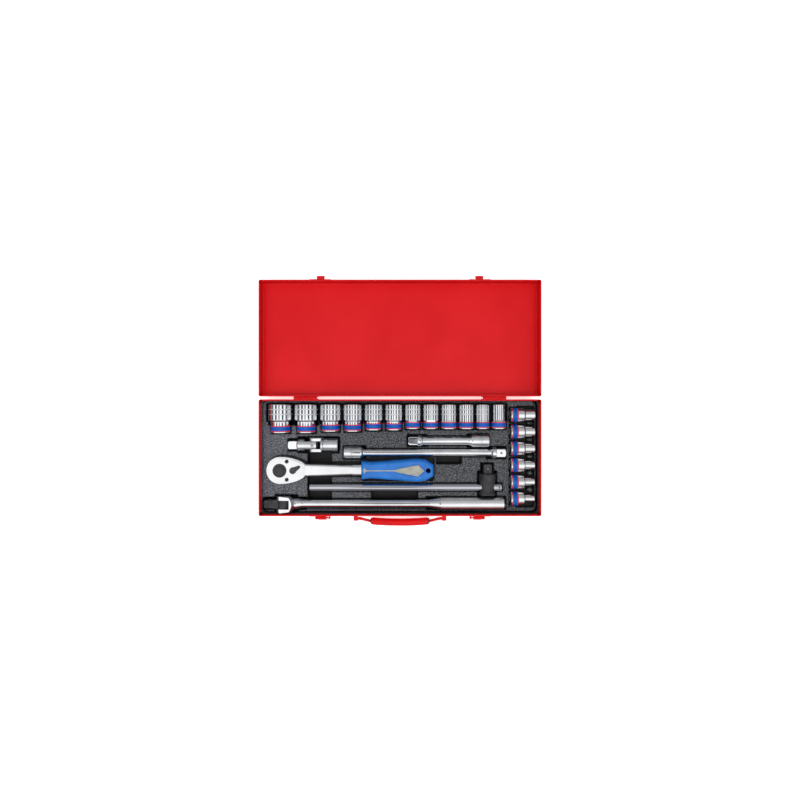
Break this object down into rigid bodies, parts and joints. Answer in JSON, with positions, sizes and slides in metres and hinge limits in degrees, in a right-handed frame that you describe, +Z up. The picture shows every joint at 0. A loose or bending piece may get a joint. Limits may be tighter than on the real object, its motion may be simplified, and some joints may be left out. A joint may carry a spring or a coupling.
{
  "type": "socket wrench set in case",
  "caption": "Hinged sheet-metal case, lying open, with a moulded tray of half-inch drive sockets, a ratchet, extension bars, a universal joint, a sliding T-bar and a breaker bar.",
  "frame": {"origin": "centre of the base's underside", "axes": "+X along the case, +Y back to the hinges and the opened lid, +Z up"},
  "size_m": [0.431, 0.3881, 0.0407],
  "materials": {
    "red_paint": "gloss enamel",
    "zinc_steel": "plain steel",
    "brass": "polished",
    "tray_plastic": "fine texture",
    "chrome": "bright chrome",
    "black_steel": "black phosphate",
    "black_plastic": "satin",
    "blue_grip": "satin moulding",
    "grey_inlay": "soft touch"
  },
  "bodies": {
    "case_base": {"base_pan": "red_paint", "tool_tray": "tray_plastic", "hinge_base_leaves": "red_paint", "hinge_pins": "zinc_steel", "latch_plates": "red_paint", "latch_pins": "zinc_steel", "handle_brackets": "red_paint", "base_rivets": "red_paint"},
    "lid": {"lid_pan": "red_paint", "hinge_lid_leaves": "red_paint", "lid_catches": "red_paint", "lid_rivets": "red_paint"},
    "handle": {"handle_bail": "red_paint", "handle_grip": "red_paint"},
    "latch_left": {"latch_lever_left": "red_paint"},
    "latch_right": {"latch_lever_right": "red_paint"},
    "universal_joint": {"uj_drive_fork": "chrome", "uj_cross": "zinc_steel", "uj_pins": "zinc_steel"},
    "uj_socket_end": {"uj_socket_fork": "chrome"},
    "short_extension": {"extension_short": "chrome"},
    "short_ball": {"extension_short_ball": "zinc_steel"},
    "long_extension": {"extension_long": "chrome"},
    "long_ball": {"extension_long_ball": "brass"},
    "ratchet": {"ratchet_body": "chrome", "cover_plate": "chrome", "cover_screws": "zinc_steel", "ratchet_grip": "blue_grip", "grip_inlay": "grey_inlay"},
    "ratchet_drive": {"ratchet_drive_gear": "black_steel"},
    "drive_button": {"release_button": "black_plastic"},
    "drive_ball": {"ratchet_drive_ball": "zinc_steel"},
    "pawl": {"ratchet_pawl": "zinc_steel"},
    "reverse_switch": {"reverse_lever": "black_plastic"},
    "t_bar": {"t_bar_rod": "chrome"},
    "t_head": {"t_bar_head": "black_steel"},
    "t_ball": {"t_head_ball": "zinc_steel"},
    "breaker_bar": {"breaker_handle": "chrome", "breaker_pin": "zinc_steel"},
    "breaker_swivel": {"breaker_head": "black_steel"},
    "breaker_detent": {"breaker_ball": "zinc_steel"},
    "socket_27": {"socket_27": "chrome"},
    "socket_26": {"socket_26": "chrome"},
    "socket_24": {"socket_24": "chrome"},
    "socket_22": {"socket_22": "chrome"},
    "socket_21": {"socket_21": "chrome"},
    "socket_20": {"socket_20": "chrome"},
    "socket_19": {"socket_19": "chrome"},
    "socket_18": {"socket_18": "chrome"},
    "socket_17": {"socket_17": "chrome"},
    "socket_16": {"socket_16": "chrome"},
    "socket_15": {"socket_15": "chrome"},
    "socket_14": {"socket_14": "chrome"},
    "socket_13": {"socket_13": "chrome"},
    "socket_12": {"socket_12": "chrome"},
    "socket_11": {"socket_11": "chrome"},
    "socket_10": {"socket_10": "chrome"},
    "socket_9": {"socket_09": "chrome"},
    "socket_8": {"socket_08": "chrome"}
  },
  "joints": [
    {"name": "lid_hinge", "type": "hinge", "parent": "case_base", "child": "lid", "pos_m": [0, 0.0912, 0.03715], "axis": [-1, 0, 0], "range_deg": [-180, 0]},
    {"name": "handle_swing", "type": "hinge", "parent": "case_base", "child": "handle", "pos_m": [0, -0.0945, 0.028], "axis": [-1, 0, 0], "range_deg": [0, 120]},
    {"name": "latch_left_swing", "type": "hinge", "parent": "case_base", "child": "latch_left", "pos_m": [-0.122, -0.0935, 0.029], "axis": [-1, 0, 0], "range_deg": [0, 160]},
    {"name": "latch_right_swing", "type": "hinge", "parent": "case_base", "child": "latch_right", "pos_m": [0.122, -0.0935, 0.029], "axis": [-1, 0, 0], "range_deg": [0, 160]},
    {"name": "lift_socket_27", "type": "slide", "parent": "case_base", "child": "socket_27", "axis": [0, 0, 1], "range_m": [0, 0.06]},
    {"name": "lift_socket_26", "type": "slide", "parent": "case_base", "child": "socket_26", "axis": [0, 0, 1], "range_m": [0, 0.06]},
    {"name": "lift_socket_24", "type": "slide", "parent": "case_base", "child": "socket_24", "axis": [0, 0, 1], "range_m": [0, 0.06]},
    {"name": "lift_socket_22", "type": "slide", "parent": "case_base", "child": "socket_22", "axis": [0, 0, 1], "range_m": [0, 0.06]},
    {"name": "lift_socket_21", "type": "slide", "parent": "case_base", "child": "socket_21", "axis": [0, 0, 1], "range_m": [0, 0.06]},
    {"name": "lift_socket_20", "type": "slide", "parent": "case_base", "child": "socket_20", "axis": [0, 0, 1], "range_m": [0, 0.06]},
    {"name": "lift_socket_19", "type": "slide", "parent": "case_base", "child": "socket_19", "axis": [0, 0, 1], "range_m": [0, 0.06]},
    {"name": "lift_socket_18", "type": "slide", "parent": "case_base", "child": "socket_18", "axis": [0, 0, 1], "range_m": [0, 0.06]},
    {"name": "lift_socket_17", "type": "slide", "parent": "case_base", "child": "socket_17", "axis": [0, 0, 1], "range_m": [0, 0.06]},
    {"name": "lift_socket_16", "type": "slide", "parent": "case_base", "child": "socket_16", "axis": [0, 0, 1], "range_m": [0, 0.06]},
    {"name": "lift_socket_15", "type": "slide", "parent": "case_base", "child": "socket_15", "axis": [0, 0, 1], "range_m": [0, 0.06]},
    {"name": "lift_socket_14", "type": "slide", "parent": "case_base", "child": "socket_14", "axis": [0, 0, 1], "range_m": [0, 0.06]},
    {"name": "lift_socket_13", "type": "slide", "parent": "case_base", "child": "socket_13", "axis": [0, 0, 1], "range_m": [0, 0.06]},
    {"name": "lift_socket_12", "type": "slide", "parent": "case_base", "child": "socket_12", "axis": [0, 0, 1], "range_m": [0, 0.06]},
    {"name": "lift_socket_11", "type": "slide", "parent": "case_base", "child": "socket_11", "axis": [0, 0, 1], "range_m": [0, 0.06]},
    {"name": "lift_socket_10", "type": "slide", "parent": "case_base", "child": "socket_10", "axis": [0, 0, 1], "range_m": [0, 0.06]},
    {"name": "lift_socket_9", "type": "slide", "parent": "case_base", "child": "socket_9", "axis": [0, 0, 1], "range_m": [0, 0.06]},
    {"name": "lift_socket_8", "type": "slide", "parent": "case_base", "child": "socket_8", "axis": [0, 0, 1], "range_m": [0, 0.06]},
    {"name": "lift_universal_joint", "type": "slide", "parent": "case_base", "child": "universal_joint", "axis": [0, 0, 1], "range_m": [0, 0.06]},
    {"name": "uj_tilt", "type": "hinge", "parent": "universal_joint", "child": "uj_socket_end", "pos_m": [-0.135, 0.0182, 0.022], "axis": [0, -1, 0], "range_deg": [0, 60]},
    {"name": "lift_short_extension", "type": "slide", "parent": "case_base", "child": "short_extension", "axis": [0, 0, 1], "range_m": [0, 0.06]},
    {"name": "short_ball_press", "type": "slide", "parent": "short_extension", "child": "short_ball", "axis": [0, -1, 0], "range_m": [0, 0.0009], "stiffness_N_per_m": 500, "springref_m": -0.001},
    {"name": "lift_long_extension", "type": "slide", "parent": "case_base", "child": "long_extension", "axis": [0, 0, 1], "range_m": [0, 0.06]},
    {"name": "long_ball_press", "type": "slide", "parent": "long_extension", "child": "long_ball", "axis": [0, 0, -1], "range_m": [0, 0.0009], "stiffness_N_per_m": 500, "springref_m": -0.001},
    {"name": "lift_ratchet", "type": "slide", "parent": "case_base", "child": "ratchet", "axis": [0, 0, 1], "range_m": [0, 0.06]},
    {"name": "drive_spin", "type": "hinge", "parent": "ratchet", "child": "ratchet_drive", "pos_m": [-0.1835, -0.0196, 0.028], "axis": [0, 0, 1], "continuous": true},
    {"name": "button_press", "type": "slide", "parent": "ratchet_drive", "child": "drive_button", "axis": [0, 0, -1], "range_m": [0, 0.002], "stiffness_N_per_m": 500, "springref_m": -0.001},
    {"name": "drive_ball_press", "type": "slide", "parent": "ratchet_drive", "child": "drive_ball", "axis": [0, -1, 0], "range_m": [0, 0.0009], "stiffness_N_per_m": 500, "springref_m": -0.001},
    {"name": "reverse_turn", "type": "hinge", "parent": "ratchet", "child": "reverse_switch", "pos_m": [-0.1632, -0.0196, 0.037], "axis": [0, 0, 1], "range_deg": [-62, 0]},
    {"name": "pawl_rock", "type": "hinge", "parent": "ratchet", "child": "pawl", "pos_m": [-0.1632, -0.0196, 0.028], "axis": [0, 0, 1], "range_deg": [-11, 0]},
    {"name": "lift_t_bar", "type": "slide", "parent": "case_base", "child": "t_bar", "axis": [0, 0, 1], "range_m": [0, 0.06]},
    {"name": "t_head_turn", "type": "hinge", "parent": "t_bar", "child": "t_head", "pos_m": [0.1355, -0.0474, 0.022], "axis": [1, 0, 0], "range_deg": [0, 95]},
    {"name": "t_ball_press", "type": "slide", "parent": "t_head", "child": "t_ball", "axis": [0, 0, -1], "range_m": [0, 0.0009], "stiffness_N_per_m": 500, "springref_m": -0.001},
    {"name": "lift_breaker_bar", "type": "slide", "parent": "case_base", "child": "breaker_bar", "axis": [0, 0, 1], "range_m": [0, 0.06]},
    {"name": "breaker_turn", "type": "hinge", "parent": "breaker_bar", "child": "breaker_swivel", "pos_m": [-0.1804, -0.0728, 0.022], "axis": [0, 1, 0], "range_deg": [0, 100]},
    {"name": "breaker_ball_press", "type": "slide", "parent": "breaker_swivel", "child": "breaker_detent", "axis": [0, -1, 0], "range_m": [0, 0.0009], "stiffness_N_per_m": 500, "springref_m": -0.001}
  ],
  "couplings": [
    {"joint": "pawl_rock", "follows": "reverse_turn", "ratio": 0.17742}
  ]
}
